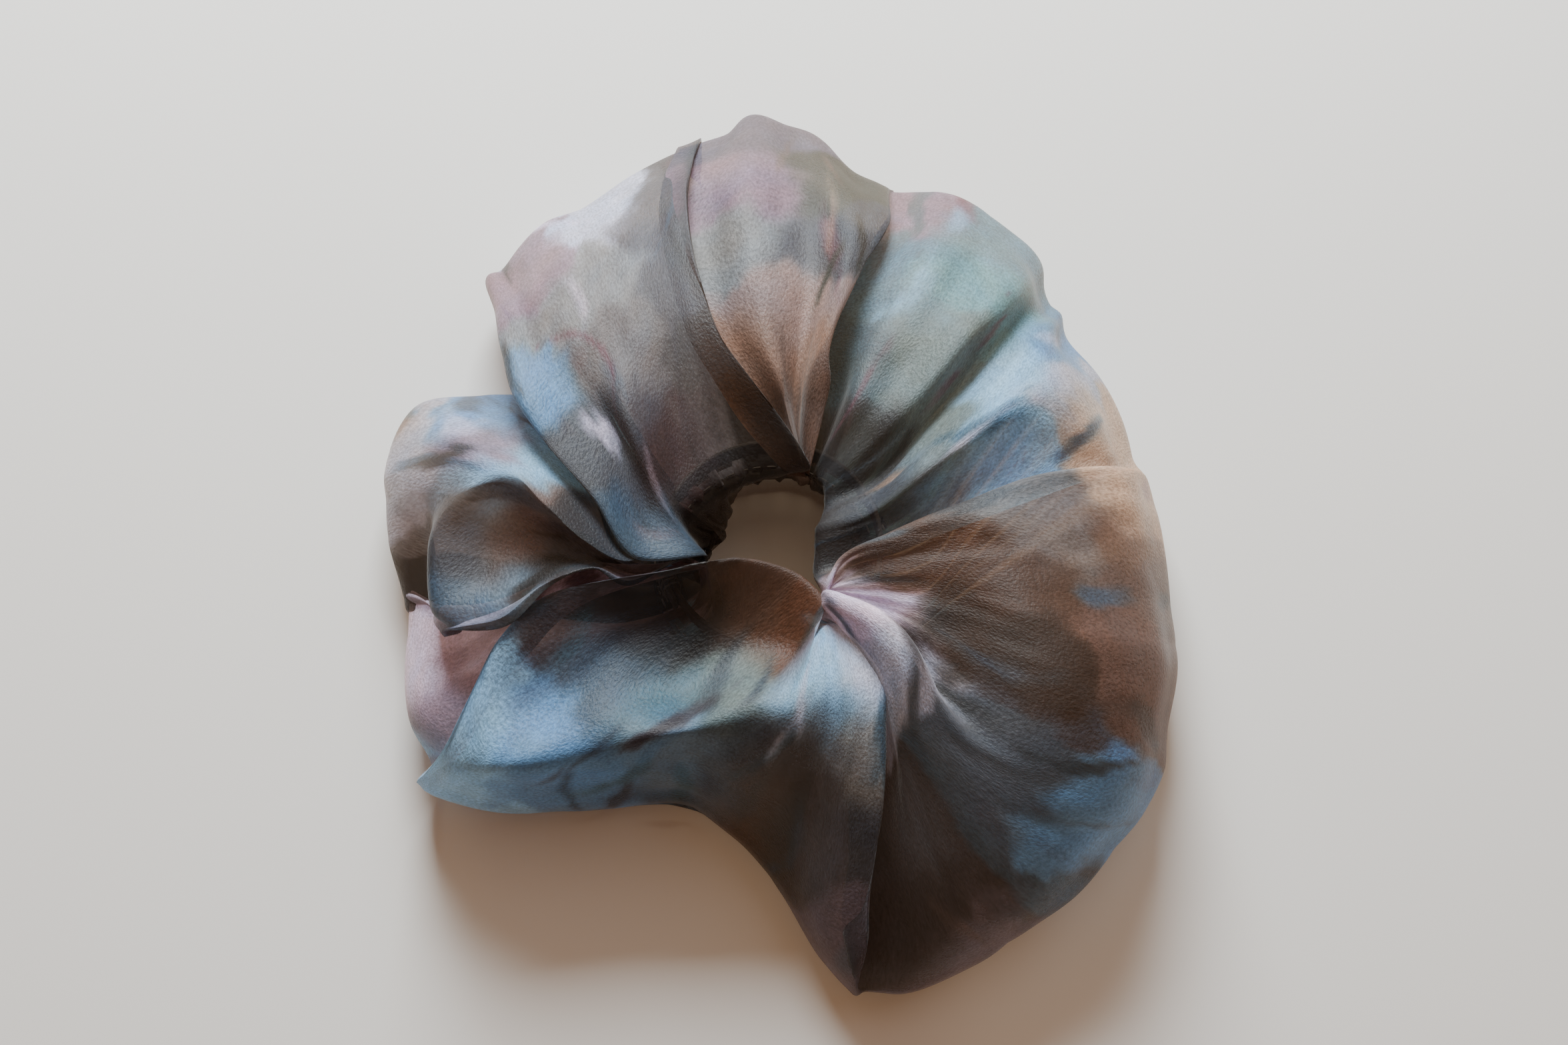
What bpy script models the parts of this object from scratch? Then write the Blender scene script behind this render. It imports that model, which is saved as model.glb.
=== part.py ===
"""Large gathered hair scrunchie, lying relaxed on a table.

A printed satin-organza tube (the cover) is gathered on a flat elastic loop. The cover is made here as a
plain puffed body in two halves, so that one half can be pulled away from the other when the loop stretches.
A tunnel round the hole holds the elastic, the stitch that joins the elastic's ends, the lengthwise seam of
the tube and the closing seam where the tube's two ends meet. Metres, +Z up, with the origin under the
middle of the outline's box.
"""

import math

import bmesh
import bpy

MM = 0.001

# Reach of the rim from the middle of the hole, going round from +X towards +Y: (degrees, mm).
RIM_REACH = [
    (10, 78), (33, 80), (49, 89), (64, 94), (78, 90), (90, 105), (103, 99), (118, 92), (134, 86),
    (148, 66), (160, 82), (175, 82), (195, 77), (217, 85), (232, 71), (252, 57), (268, 68),
    (283, 94), (300, 96), (320, 92), (344, 86),
]
# Height of each puff's crest and of the folds between the puffs: (degrees, mm).
CREST_HEIGHT = [
    (3, 34), (25, 42), (42, 34), (60, 39), (78, 33), (90, 43), (103, 35), (125, 43), (150, 27),
    (174, 37), (195, 27), (228, 40), (252, 34), (268, 39), (283, 31), (308, 42), (338, 42),
]

HOLE_RADIUS = 15.0 * MM  # clear radius that the gathers leave round the hair
GATHERS = 16  # small pleats round the hole
GATHER_DEPTH = 1.2 * MM  # how far each pleat moves the hole's wall
PLEAT_HEIGHT = 2.2 * MM  # how far each pleat lifts the crest
COLUMNS_PER_HALF = 40  # cross-sections along each half of the cover
SPLIT_GAP = 0.3 * MM  # between the halves of the cover

TUNNEL_RADIUS = 23.8 * MM  # middle of the tunnel round the hole
TUNNEL_HEIGHT = 9.0 * MM
TUNNEL_HALF_WIDTH = 4.3 * MM
TUNNEL_HALF_HEIGHT = 7.6 * MM
TUNNEL_FIRST = -121.0  # degrees, where the tunnel's section starts, at its lower inner corner

ELASTIC_RADIUS = 21.6 * MM  # inner face of the elastic loop, relaxed
ELASTIC_WIDTH = 6.0 * MM
ELASTIC_THICKNESS = 1.0 * MM
ELASTIC_HEIGHT = 11.0 * MM  # middle of the band above the table
ELASTIC_OVERLAP = 24.0  # degrees that the band's ends lie over each other
ELASTIC_START = 188.0  # degrees, where the inner end begins
PIECE_GAP = 0.3 * MM  # between pieces that touch on the real object

THREAD_RADIUS = 0.25 * MM
TACK_TURNS = 5  # zigzags of the tack that joins the elastic's ends

SEAM_WIDTH = 5.8 * MM  # the pressed seam allowances
SEAM_PLY = 0.5 * MM  # two plies of cloth
SEAM_RADIUS = 20.9 * MM  # inner edge of the lengthwise seam
SEAM_HEIGHT = 3.0 * MM
SEAM_WAVE = 1.5 * MM  # the seam's own gathers
CLOSING_ANGLE = 200.0  # degrees, where the tube's ends meet, over the lapped elastic
CLOSING_WIDTH = 4.0 * MM

PRINT_BLUE = (0.36, 0.47, 0.53, 1.0)
SEAM_GREY = (0.42, 0.44, 0.46, 1.0)
ELASTIC_CHARCOAL = (0.10, 0.10, 0.11, 1.0)
THREAD_GREY = (0.20, 0.21, 0.23, 1.0)


def clear_scene():
    for obj in list(bpy.data.objects):
        bpy.data.objects.remove(obj)


def material(name, colour, roughness):
    mat = bpy.data.materials.new(name)
    mat.use_nodes = True
    shader = mat.node_tree.nodes["Principled BSDF"]
    shader.inputs["Base Color"].default_value = colour
    shader.inputs["Roughness"].default_value = roughness
    shader.inputs["Metallic"].default_value = 0.0
    return mat


def periodic(knots, degrees):
    """Value at an angle of a smooth closed curve through (degrees, value) knots, by Catmull-Rom."""
    degrees %= 360.0
    count = len(knots)
    after = next((i for i, knot in enumerate(knots) if knot[0] > degrees), 0)
    angles, values = [], []
    for step in (-2, -1, 0, 1):
        index = after + step
        turns = index // count
        wrapped = knots[index % count]
        angles.append(wrapped[0] + 360.0 * turns)
        values.append(wrapped[1])
    if after == 0 and degrees > knots[-1][0]:
        degrees -= 360.0
    t = (degrees - angles[1]) / (angles[2] - angles[1])
    a, b, c, d = values
    square = 2 * a - 5 * b + 4 * c - d
    cube = 3 * b - a - 3 * c + d
    return 0.5 * (2 * b + (c - a) * t + square * t**2 + cube * t**3)


def outline_centre():
    """Middle of the rim's box, seen from the hole's middle."""
    xs, ys = [], []
    for column in range(2 * COLUMNS_PER_HALF):
        degrees = 90.0 + 180.0 * column / COLUMNS_PER_HALF
        reach = periodic(RIM_REACH, degrees) * MM
        xs.append(reach * math.cos(math.radians(degrees)))
        ys.append(reach * math.sin(math.radians(degrees)))
    return (min(xs) + max(xs)) / 2, (min(ys) + max(ys)) / 2


CENTRE_X, CENTRE_Y = outline_centre()


def place(degrees, radius, height):
    """A point given round the hole's middle, in the part's own frame."""
    angle = math.radians(degrees)
    return radius * math.cos(angle) - CENTRE_X, radius * math.sin(angle) - CENTRE_Y, height


def section(degrees):
    """The cover's closed cross-section at an angle, as (radius, height), from the hole's foot outwards."""
    pleat = math.cos(GATHERS * math.radians(degrees))
    inner = HOLE_RADIUS + GATHER_DEPTH * (1 - pleat)
    rim = periodic(RIM_REACH, degrees) * MM
    top = periodic(CREST_HEIGHT, degrees) * MM + PLEAT_HEIGHT * pleat
    span = rim - inner
    rows = [
        (0.05, 0.0), (0.30, 0.0), (0.58, 0.0), (0.84, 0.0),
        (0.94, 0.07), (0.985, 0.17), (1.0, 0.29), (0.985, 0.42), (0.94, 0.56), (0.86, 0.71),
        (0.74, 0.85), (0.59, 0.96), (0.43, 1.0), (0.27, 0.97), (0.13, 0.86),
        (0.04, 0.68), (0.0, 0.45), (0.005, 0.2),
    ]
    return [(inner + across * span, up * top) for across, up in rows]


def tunnel_section(inwards):
    """The tunnel's closed cross-section moved inwards, with as many points as the cover's section."""
    half_width, half_height = TUNNEL_HALF_WIDTH - inwards, TUNNEL_HALF_HEIGHT - inwards
    count = len(section(0.0))
    points = []
    for row in range(count):
        angle = math.radians(TUNNEL_FIRST + 360.0 * row / count)
        along, up = math.cos(angle), math.sin(angle)
        reach = ((along / half_width) ** 4 + (up / half_height) ** 4) ** -0.25
        points.append((TUNNEL_RADIUS + along * reach, TUNNEL_HEIGHT + up * reach))
    return points


def mesh_object(name, builder, mat, smooth=True):
    mesh = bpy.data.meshes.new(name)
    built = builder()
    built.to_mesh(mesh)
    built.free()
    obj = bpy.data.objects.new(name, mesh)
    bpy.context.scene.collection.objects.link(obj)
    mesh.materials.append(mat)
    if smooth:
        mesh.shade_smooth()
        mesh.set_sharp_from_angle(angle=math.radians(40))
    return obj


def skin(rings, closed_along=False):
    """A bmesh of closed rings of points, each joined to the next, with flat ends unless it closes along."""
    built = bmesh.new()
    loops = [[built.verts.new(point) for point in ring] for ring in rings]
    pairs = list(zip(loops, loops[1:]))
    if closed_along:
        pairs.append((loops[-1], loops[0]))
    for first, second in pairs:
        for i in range(len(first)):
            j = (i + 1) % len(first)
            built.faces.new((first[i], first[j], second[j], second[i]))
    if not closed_along:
        built.faces.new(loops[0])
        built.faces.new(list(reversed(loops[-1])))
    bmesh.ops.recalc_face_normals(built, faces=built.faces)
    return built


def cover_half(name, pulled, mat):
    """Half of the cover, with a flat underside to lie on and the tunnel open at both cuts."""
    side = 1 if pulled else -1
    first = -90.0 if pulled else 90.0

    def ring(degrees, points):
        placed = [place(degrees, radius, height) for radius, height in points]
        return [(x + side * SPLIT_GAP / 2, y, z) for x, y, z in placed]

    def build():
        angles = [first + 180.0 * step / COLUMNS_PER_HALF for step in range(COLUMNS_PER_HALF + 1)]
        outer = [ring(degrees, section(degrees)) for degrees in angles]
        inner = [ring(degrees, tunnel_section(0.0)) for degrees in reversed(angles)]
        return skin(outer + inner, closed_along=True)

    return mesh_object(name, build, mat)


def elastic_loop(mat):
    """One strip of flat elastic, bent into a loop with its ends lapped over each other."""
    steps = 84
    half_width, half_ply = ELASTIC_WIDTH / 2, ELASTIC_THICKNESS / 2
    soft = 0.3 * ELASTIC_THICKNESS
    profile = [
        (-half_ply, -half_width + soft), (-half_ply + soft, -half_width),
        (half_ply - soft, -half_width), (half_ply, -half_width + soft),
        (half_ply, half_width - soft), (half_ply - soft, half_width),
        (-half_ply + soft, half_width), (-half_ply, half_width - soft),
    ]

    def build():
        turn = 360.0 + ELASTIC_OVERLAP
        rings = []
        for step in range(steps + 1):
            along = turn * step / steps
            climb = (ELASTIC_THICKNESS + PIECE_GAP) * along / 360.0
            middle = ELASTIC_RADIUS + half_ply + climb
            at = ELASTIC_START + along
            rings.append([place(at, middle + across, ELASTIC_HEIGHT + up) for across, up in profile])
        return skin(rings)

    return mesh_object("elastic_loop", build, mat)


def tube(name, path, radius, mat, cyclic=False):
    """A round thread along a path."""
    curve = bpy.data.curves.new(name, "CURVE")
    curve.dimensions = "3D"
    curve.bevel_depth = radius
    curve.bevel_resolution = 1
    curve.use_fill_caps = not cyclic
    spline = curve.splines.new("POLY")
    spline.points.add(len(path) - 1)
    for point, place_at in zip(spline.points, path):
        point.co = (*place_at, 1.0)
    spline.use_cyclic_u = cyclic
    obj = bpy.data.objects.new(name, curve)
    bpy.context.scene.collection.objects.link(obj)
    curve.materials.append(mat)
    return obj


def elastic_tack(mat):
    """The zigzag that holds the lapped ends of the elastic, passing over both faces of the two plies."""
    clear = PIECE_GAP + THREAD_RADIUS
    climb = (ELASTIC_THICKNESS + PIECE_GAP) * ELASTIC_OVERLAP / 360.0
    inner = ELASTIC_RADIUS - clear
    outer = ELASTIC_RADIUS + 2 * ELASTIC_THICKNESS + PIECE_GAP + climb + clear
    low = ELASTIC_HEIGHT - ELASTIC_WIDTH / 2 - clear
    high = ELASTIC_HEIGHT + ELASTIC_WIDTH / 2 + clear
    pitch = 0.6 * ELASTIC_OVERLAP / TACK_TURNS
    first = ELASTIC_START + 0.2 * ELASTIC_OVERLAP
    path = []
    for turn in range(TACK_TURNS):
        at = first + turn * pitch
        path += [place(at, inner, low), place(at, inner, high)]
        path += [place(at, outer, high), place(at + 0.8 * pitch, outer, low)]
    return tube("elastic_tack", path, THREAD_RADIUS, mat)


def lengthwise_seam(mat):
    """The tube's long seam: two allowances pressed together, lying flat in the tunnel under the elastic."""
    steps = 72
    margin = math.degrees((CLOSING_WIDTH / 2 + 2 * PIECE_GAP) / SEAM_RADIUS)
    first, last = CLOSING_ANGLE + margin, CLOSING_ANGLE + 360.0 - margin
    low, high = SEAM_HEIGHT, SEAM_HEIGHT + SEAM_PLY
    near, far = SEAM_RADIUS, SEAM_RADIUS + SEAM_WIDTH

    def ring(degrees):
        wave = SEAM_WAVE / 2 * (1 + math.cos(GATHERS * math.radians(degrees)))
        corners = ((near, low), (far, low), (far, high), (near, high))
        return [place(degrees, radius, height + wave) for radius, height in corners]

    def build():
        return skin([ring(first + (last - first) * step / steps) for step in range(steps + 1)])

    return mesh_object("lengthwise_seam", build, mat, smooth=False)


def closing_seam(mat):
    """Where the tube's ends are joined: a band of two plies that lines the tunnel, round the elastic."""
    outside = PIECE_GAP
    inside = outside + SEAM_PLY

    def edge(row, side, depth):
        radius, height = tunnel_section(depth)[row]
        half_turn = math.degrees(CLOSING_WIDTH / 2 / TUNNEL_RADIUS)
        return place(CLOSING_ANGLE + side * half_turn, radius, height)

    def build():
        corners = ((-1, outside), (1, outside), (1, inside), (-1, inside))
        rows = range(len(section(CLOSING_ANGLE)))
        rings = [[edge(row, side, depth) for side, depth in corners] for row in rows]
        return skin(rings, closed_along=True)

    return mesh_object("closing_seam", build, mat, smooth=False)


def main():
    clear_scene()
    cloth = material("printed_cloth", PRINT_BLUE, 0.45)
    allowance = material("seam_allowance", SEAM_GREY, 0.6)
    elastic = material("elastic", ELASTIC_CHARCOAL, 0.7)
    thread = material("thread", THREAD_GREY, 0.5)
    cover_half("cover_held_half", False, cloth)
    cover_half("cover_pulled_half", True, cloth)
    elastic_loop(elastic)
    elastic_tack(thread)
    lengthwise_seam(allowance)
    closing_seam(allowance)


main()
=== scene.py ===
"""Looks for the gathered scrunchie: a sheer satin-organza cover with a watercolour print, on a table.

The cover is one strip of cloth, sewn into a tube and the tube into a ring. Its shape is drawn as ribs,
each running from the hair hole over a petal to the rim. The strip's surface passes through all of them,
goes back under the petals to the lengthwise seam at the hole's foot, and gets gathers and creases.
Inside it lie the elastic, the tack through the elastic's ends and the stitching of both seams.
Lengths are in millimetres until the meshes are made. Places are in the part's frame, +Z up.
"""

import math

import bpy
import numpy as np
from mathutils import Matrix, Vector


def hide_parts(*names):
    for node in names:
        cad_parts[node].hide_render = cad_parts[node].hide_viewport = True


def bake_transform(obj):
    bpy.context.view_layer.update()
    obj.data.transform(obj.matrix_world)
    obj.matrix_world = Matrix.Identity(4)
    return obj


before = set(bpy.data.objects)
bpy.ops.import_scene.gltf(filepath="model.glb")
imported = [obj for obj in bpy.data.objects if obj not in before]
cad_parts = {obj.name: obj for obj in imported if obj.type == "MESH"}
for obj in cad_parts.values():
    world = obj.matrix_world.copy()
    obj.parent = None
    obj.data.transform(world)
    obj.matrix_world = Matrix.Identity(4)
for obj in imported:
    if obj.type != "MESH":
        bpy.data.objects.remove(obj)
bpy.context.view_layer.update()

MM = 0.001
HOLE = np.array([-0.6, -6.6])  # middle of the elastic loop

# ---------------------------------------------------------------- camera
CAMERA_ELEVATION = 68.0
CAMERA_DISTANCE = 411.6
CAMERA_LENS = 45.0
LOOK_AT = Vector((1.9, -1.3, 12.0))


def add_camera():
    tilt = math.radians(CAMERA_ELEVATION)
    data = bpy.data.cameras.new("camera")
    data.lens = CAMERA_LENS
    data.sensor_width = 36.0
    data.clip_start = 0.01
    camera = bpy.data.objects.new("camera", data)
    camera.location = (LOOK_AT + CAMERA_DISTANCE * Vector((0, -math.cos(tilt), math.sin(tilt)))) * MM
    camera.rotation_euler = (math.radians(90.0) - tilt, 0, 0)
    bpy.context.scene.collection.objects.link(camera)
    bpy.context.scene.camera = camera


add_camera()

# ---------------------------------------------------------------- the cover's shape
CLOTH_WIDTH = 0.20  # metres, the strip's cut width, seam to seam
CLOTH_LENGTH = 0.55  # metres, the strip's cut length, round the ring

SEAM_REACH = 25.8  # radius of the raw edges of the lengthwise seam's allowances
SEAM_LINE = 20.4  # radius of the stitched line of that seam
SEAM_HEIGHTS = (3.35, 3.75)  # of the lower and the upper allowance
ALLOWANCE = (4.2, 2.6, 1.1)  # how deep the turned-in short ends of the strip lie under its surface

COLUMNS = 620  # across the strip's length, round the ring
ROWS_TOP = 96  # lip to rim
ROWS_UNDER = 40  # rim to the seam
ROWS_WALL = 18  # seam to the lip

# Going clockwise round the hole, from the closing seam and back to it. A rib lists (x, y, z) from the
# hole's lip, over the crest, to the rim. A "tuck" is cloth that turns back under the petal next to it.
PETALS = {
    "grey petal": [
        [(-23, -4, 23), (-26, 4, 23), (-31, 13, 23), (-36, 22, 23),
         (-40, 27, 22), (-43, 32, 19), (-46, 36, 15), (-48, 41, 9)],
        [(-14, -16, 31), (-27, -18, 35), (-35, -7, 38), (-45, 5, 38),
         (-52, 18, 36), (-57, 34, 30), (-60, 46, 21), (-63, 56, 12)],
        [(-15, -14, 31), (-25, -8, 34), (-31, 7, 36), (-39, 19, 36),
         (-45, 31, 35), (-51, 44, 29), (-55, 53, 21), (-59, 62, 11)],
        [(-18, -10, 31), (-23, -3, 36), (-29, 9, 40), (-34, 24, 38),
         (-39, 37, 36), (-44, 51, 30), (-48, 62, 21), (-52, 71, 11)],
        [(-16, -6, 31), (-19, 3, 34), (-23, 17, 37), (-28, 33, 38),
         (-31, 48, 35), (-36, 61, 29), (-39, 70, 20), (-42, 77, 11)],
        [(-10, -2, 31), (-14, 8, 35), (-19, 22, 38), (-23, 38, 38),
         (-26, 54, 34), (-29, 68, 28), (-31, 76, 20), (-33, 84, 11)],
        [(-3, 1, 30), (-8, 12, 36), (-15, 26, 40), (-19, 45, 38),
         (-22, 62, 33), (-23, 75, 26), (-23, 83, 19), (-24, 90, 11)],
        [(7, 3, 31), (0, 13, 38), (-10, 27, 41), (-16, 47, 38),
         (-18, 66, 31), (-18, 78, 24), (-18, 85, 18), (-17, 93, 11)],
    ],
    "top petal": [
        [(2, 5, 24), (-7, 14, 30), (-17, 30, 33), (-22, 47, 32),
         (-24, 62, 28), (-24, 76, 22), (-23, 84, 17), (-22, 91, 11)],
        [(6, 4, 25), (-1, 16, 28), (-9, 31, 31), (-14, 48, 30),
         (-15, 66, 26), (-15, 80, 21), (-14, 88, 16), (-12, 95, 11)],
        [(6, 4, 26), (2, 16, 32), (-2, 30, 35), (-5, 49, 34),
         (-6, 68, 29), (-5, 81, 23), (-5, 91, 17), (-5, 99, 11)],
        [(6, 5, 25), (4, 17, 29), (5, 33, 31), (7, 50, 30),
         (7, 67, 26), (7, 80, 21), (7, 88, 16), (7, 96, 11)],
        [(6, 5, 26), (7, 17, 33), (10, 30, 36), (15, 45, 36),
         (18, 59, 31), (19, 69, 25), (18, 76, 19), (18, 83, 12)],
        [(7, 4, 28), (11, 19, 33), (11, 27, 35), (15, 38, 35),
         (20, 49, 33), (25, 62, 28), (25, 72, 21), (25, 80, 12)],
    ],
    "teal petal": [
        [(4, 8, 22), (7, 21, 27), (8, 30, 29), (13, 40, 29),
         (19, 51, 28), (26, 64, 24), (27, 71, 19), (27, 81, 11)],
        [(7, 5, 24), (12, 21, 26), (13, 31, 27), (17, 42, 27),
         (23, 53, 26), (29, 63, 23), (31, 72, 18), (32, 80, 11)],
        [(8, 4, 26), (14, 15, 33), (19, 28, 33), (26, 41, 31),
         (32, 54, 28), (37, 64, 23), (39, 71, 18), (41, 78, 11)],
        [(9, 2, 27), (18, 12, 33), (26, 24, 33), (35, 38, 32),
         (42, 50, 28), (46, 59, 23), (49, 65, 18), (51, 71, 11)],
        [(10, 0, 28), (21, 8, 33), (31, 18, 34), (41, 31, 34),
         (49, 41, 30), (54, 50, 24), (56, 55, 18), (59, 61, 11)],
        [(10, -3, 27), (21, 3, 29), (31, 15, 28), (43, 30, 27),
         (51, 40, 24), (56, 45, 20), (58, 49, 15), (60, 54, 10)],
    ],
    "pale blue petal": [
        [(9, -7, 28), (21, -1, 31), (33, 9, 35), (46, 20, 36),
         (54, 28, 32), (60, 35, 25), (62, 39, 18), (64, 44, 11)],
        [(8, -10, 29), (19, -7, 32), (32, 1, 37), (45, 10, 40),
         (56, 17, 37), (63, 23, 29), (67, 28, 20), (70, 33, 11)],
        [(8, -13, 28), (19, -9, 31), (33, -2, 32), (47, 3, 34),
         (60, 8, 33), (68, 14, 27), (71, 18, 20), (75, 23, 11)],
        [(8, -19, 27), (15, -17, 29), (25, -14, 30), (39, -9, 32),
         (56, -2, 33), (69, 4, 27), (74, 8, 19), (77, 12, 11)],
    ],
    "brown petal": [
        [(10, -24, 34), (13, -19, 37), (22, -15, 40), (35, -10, 42),
         (54, -2, 39), (70, 2, 31), (75, 5, 22), (79, 7, 12)],
        [(10, -25, 35), (16, -21, 39), (31, -20, 42), (48, -18, 43),
         (63, -16, 38), (74, -14, 30), (79, -12, 21), (82, -9, 12)],
        [(10, -25, 35), (20, -26, 38), (36, -29, 41), (51, -34, 43),
         (64, -35, 39), (75, -33, 30), (79, -31, 21), (82, -29, 12)],
        [(11, -26, 35), (23, -31, 37), (36, -40, 39), (51, -49, 41),
         (63, -52, 37), (72, -52, 29), (76, -50, 20), (78, -49, 12)],
        [(11, -26, 35), (23, -34, 36), (31, -45, 36), (44, -59, 38),
         (57, -63, 35), (67, -63, 28), (71, -62, 20), (74, -60, 12)],
        [(10, -26, 38), (19, -32, 44), (27, -41, 45), (30, -54, 38),
         (45, -70, 34), (57, -74, 27), (62, -74, 19), (65, -73, 11)],
        [(10, -28, 38), (17, -35, 43), (24, -44, 44), (27, -56, 37),
         (38, -72, 33), (50, -80, 26), (56, -81, 18), (59, -80, 11)],
        [(10, -29, 36), (16, -37, 38), (21, -46, 38), (25, -58, 34),
         (34, -76, 30), (44, -85, 24), (49, -87, 17), (51, -86, 10)],
        [(12, -30, 29), (19, -42, 29), (22, -54, 29), (25, -72, 28),
         (31, -85, 25), (36, -90, 21), (39, -92, 16), (40, -93, 10)],
        [(12, -30, 28), (20, -45, 26), (20, -61, 25), (20, -76, 23),
         (22, -86, 21), (24, -94, 17), (24, -97, 13), (25, -99, 9)],
        [(11, -29, 26), (17, -43, 24), (15, -60, 22), (15, -75, 20),
         (15, -86, 17), (17, -94, 14), (18, -97, 11), (19, -99, 8)],
    ],
    "charcoal petal": [
        [(13, -32, 34), (20, -42, 37), (21, -55, 37), (20, -70, 32),
         (18, -82, 25), (17, -90, 19), (15, -95, 14), (14, -97, 9)],
        [(12, -32, 34), (16, -43, 39), (16, -55, 38), (14, -68, 31),
         (11, -80, 23), (9, -86, 17), (9, -90, 13), (9, -92, 9)],
        [(10, -32, 34), (11, -43, 39), (10, -53, 37), (7, -63, 29),
         (4, -71, 21), (3, -76, 16), (2, -78, 12), (1, -79, 8)],
        [(8, -32, 33), (6, -42, 37), (3, -51, 38), (-3, -59, 30),
         (-6, -64, 21), (-7, -66, 16), (-8, -67, 12), (-9, -68, 8)],
    ],
    "blue petal": [
        [(10, -27, 33), (4, -36, 31), (-5, -48, 37), (-12, -55, 34),
         (-16, -59, 24), (-17, -61, 17), (-18, -61, 12), (-18, -62, 8)],
        [(6, -21, 32), (-6, -31, 27), (-16, -44, 29), (-23, -54, 36),
         (-28, -59, 28), (-31, -61, 19), (-32, -62, 13), (-33, -62, 8)],
        [(-2, -18, 33), (-14, -26, 28), (-27, -35, 28), (-36, -50, 32),
         (-43, -59, 32), (-47, -61, 23), (-49, -62, 15), (-51, -62, 8)],
        [(-9, -18, 34), (-20, -23, 32), (-34, -29, 31), (-47, -43, 30),
         (-56, -55, 32), (-62, -60, 26), (-66, -60, 17), (-69, -60, 9)],
        [(-13, -19, 34), (-22, -21, 36), (-42, -25, 36), (-53, -34, 35),
         (-59, -44, 33), (-65, -55, 28), (-69, -57, 19), (-72, -57, 10)],
    ],
    "pink tuck": [
        [(-14, -17, 26), (-22, -18, 24), (-39, -24, 22), (-50, -35, 22),
         (-56, -45, 23), (-62, -53, 19), (-67, -54, 14), (-70, -54, 8)],
        [(-15, -16, 24), (-23, -16, 21), (-42, -20, 19), (-54, -31, 19),
         (-64, -40, 19), (-71, -45, 17), (-74, -46, 13), (-75, -45, 8)],
        [(-15, -15, 24), (-24, -15, 21), (-40, -17, 18), (-54, -25, 18),
         (-63, -29, 17), (-71, -28, 16), (-75, -27, 13), (-77, -24, 9)],
        [(-16, -14, 23), (-25, -14, 21), (-39, -14, 19), (-51, -20, 19),
         (-60, -23, 19), (-69, -22, 16), (-73, -20, 13), (-76, -17, 9)],
    ],
    "pocket petal": [
        [(-18, -16, 29), (-28, -23, 34), (-35, -21, 37), (-44, -25, 38),
         (-53, -32, 35), (-65, -31, 27), (-64, -26, 17), (-76, -20, 10)],
        [(-20, -16, 29), (-28, -20, 30), (-37, -15, 30), (-46, -15, 29),
         (-57, -20, 28), (-68, -24, 28), (-68, -20, 17), (-78, -16, 10)],
        [(-21, -15, 30), (-28, -19, 31), (-37, -12, 31), (-46, -9, 30),
         (-57, -8, 30), (-69, -13, 30), (-71, -9, 19), (-82, -7, 11)],
        [(-21, -14, 31), (-29, -19, 36), (-37, -16, 39), (-45, -9, 41),
         (-53, -2, 40), (-65, 0, 34), (-75, 1, 24), (-83, 3, 12)],
        [(-22, -12, 29), (-27, -13, 31), (-34, -7, 33), (-44, 1, 34),
         (-53, 6, 34), (-66, 9, 32), (-76, 11, 23), (-83, 14, 12)],
        [(-22, -10, 28), (-27, -9, 29), (-34, -2, 30), (-43, 5, 32),
         (-52, 11, 32), (-61, 15, 29), (-70, 20, 21), (-77, 26, 11)],
        [(-23, -8, 26), (-28, -5, 27), (-34, 2, 28), (-43, 9, 29),
         (-48, 14, 29), (-54, 18, 27), (-59, 23, 20), (-63, 28, 11)],
        [(-23, -6, 24), (-28, 1, 24), (-34, 8, 24), (-41, 15, 24),
         (-45, 19, 24), (-49, 22, 21), (-51, 26, 16), (-53, 30, 10)],
    ],
}
RIB_COUNT = sum(len(ribs) for ribs in PETALS.values())
RIM_ROW = 7  # of a rib, when its lip is row 0

WALL_RADIUS = 16.8  # of the cloth's wall round the hole
WALL_HEIGHTS = (6.0, 14.0)  # of the wall's foot and its middle
WALL_BULGE = 7.0  # how far the wall stands into the hole under the grey petal
BULGE_TURN = 2.75  # radians, where it does so
BULGE_SPREAD = 0.16
# The cloth's way back under a petal, as (share of the way to the hole, height).
UNDERSIDE = ((0.12, 1.6), (0.35, 0.9), (0.65, 0.9), (0.93, 1.0))
UNDERSIDE_END = 30.0  # radius where that way ends

CREASE_SEED = 7
GATHERS = 27  # pleats round the hole
GATHER_DEPTH = 0.9  # how far they move the wall of the hole
FOOT_DEPTH = 5.0  # how far the gathers lift the cloth on the underside
FOLD_DEPTH = 0.45  # of the soft folds that run along the ribs
CREASE_DEPTH = 0.6  # of the short creases across them
SIDE_DEPTH = 1.5  # of the folds that fall down the sides to the rim
FINE_DEPTH = 0.1  # of the puckers between them
LOWEST = 0.25  # of the cloth above the table
# Where each kind of fold lies, as rows of a rib: (from, to, fade).
WALL_ROWS = (-2.6, -1.3, 1.3)
FOOT_ROWS = (9.6, 13.0, 1.2)
TOP_ROWS = (1.0, 5.4, 1.6)
SIDE_ROWS = (4.4, 8.2, 2.2)
CLEAR_ROWS = (-3.6, 11.4, 0.6)  # clear of the lengthwise seam
SEAM_ROOM = 0.08  # how much of their depth the turned-in ends keep at that seam

OPACITY = 0.70  # of one layer of the cloth
BRUSH_PER_METRE = (240.0, 50.0)  # brush strokes, short across the ribs and long along them
BLOOM_PER_METRE = (330.0, 300.0)  # where the ink pooled
WASH_PER_METRE = (75.0, 60.0)  # warm and cool washes
GRAIN_PER_METRE = (1900.0, 900.0)  # the crepe grain of the weave
WARM_WASH = (1.08, 1.0, 0.92, 1)
COOL_WASH = (0.93, 1.0, 1.06, 1)
GAPS_TINT = (0.94, 0.81, 0.67, 1)  # of light that passes between the threads


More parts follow.
